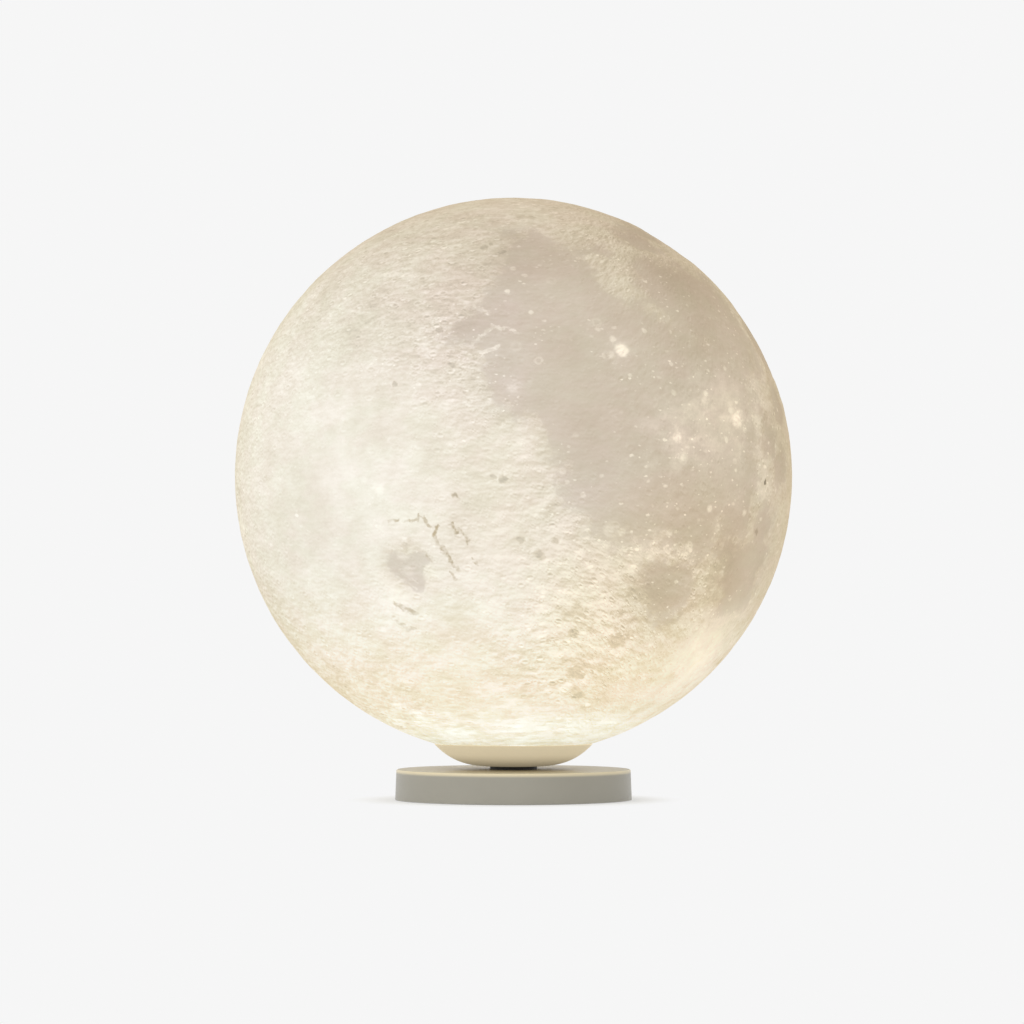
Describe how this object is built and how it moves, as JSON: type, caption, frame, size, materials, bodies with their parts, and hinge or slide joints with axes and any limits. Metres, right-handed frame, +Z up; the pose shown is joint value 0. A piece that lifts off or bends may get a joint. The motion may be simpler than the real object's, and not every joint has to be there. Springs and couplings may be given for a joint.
{
  "type": "moon lamp",
  "caption": "Table lamp with a translucent moon globe that turns and lifts off a shallow dish on a round base, with a charging inlet and a push button at the back.",
  "frame": {"origin": "centre of the base's underside, on the surface that the lamp stands on", "axes": "+Z up; the front is -Y; the charging inlet, the button and the charge light face +Y"},
  "size_m": [0.2, 0.2, 0.2162],
  "materials": {
    "base_paint": "satin paint",
    "dish_paint": "satin paint",
    "pad": "matt foam rubber",
    "steel": "zinc-plated",
    "brass": "plain",
    "carrier_alloy": "turned",
    "socket_metal": "bright",
    "board_green": "solder mask",
    "board_white": "white solder mask",
    "black_plastic": "moulded",
    "white_plastic": "moulded",
    "light_chip": "resin over phosphor",
    "opal": "satin opal",
    "foil": "pouch foil",
    "tape": "foam tape",
    "lead": "insulation",
    "moon_white": "translucent, printed in fine layers"
  },
  "bodies": {
    "base": {"base_pad": "pad", "base_plate": "steel", "base_plate_screws": "steel", "base_housing": "base_paint", "ballast_weights": "steel", "battery_cell": "foil", "battery_tape": "tape", "battery_leads": "lead", "battery_connector": "white_plastic", "control_board": "board_green", "board_chips": "black_plastic", "board_screws": "steel", "socket_shell": "socket_metal", "socket_tongue": "black_plastic", "switch_body": "black_plastic", "charge_light_pipe": "opal", "neck_spacer": "black_plastic", "threaded_tube": "brass", "tube_nuts": "brass", "tube_washers": "steel", "dish": "dish_paint", "light_carrier": "carrier_alloy", "light_board": "board_white", "light_chips": "light_chip", "light_board_screws": "steel", "light_leads": "lead", "diffuser": "opal"},
    "button": {"push_button": "white_plastic", "switch_plunger": "white_plastic"},
    "turn_ring": {"slip_ring": "white_plastic"},
    "moon": {"moon_collar": "moon_white", "moon_shell": "moon_white"}
  },
  "joints": [
    {"name": "moon_turn", "type": "hinge", "parent": "base", "child": "turn_ring", "pos_m": [0, 0, 0.0189], "axis": [0, 0, 1], "continuous": true},
    {"name": "moon_lift", "type": "slide", "parent": "turn_ring", "child": "moon", "axis": [0, 0, 1], "range_m": [0, 0.08]},
    {"name": "button_press", "type": "slide", "parent": "base", "child": "button", "axis": [-0.2756, -0.9613, 0], "range_m": [0, 0.0006], "stiffness_N_per_m": 900}
  ]
}
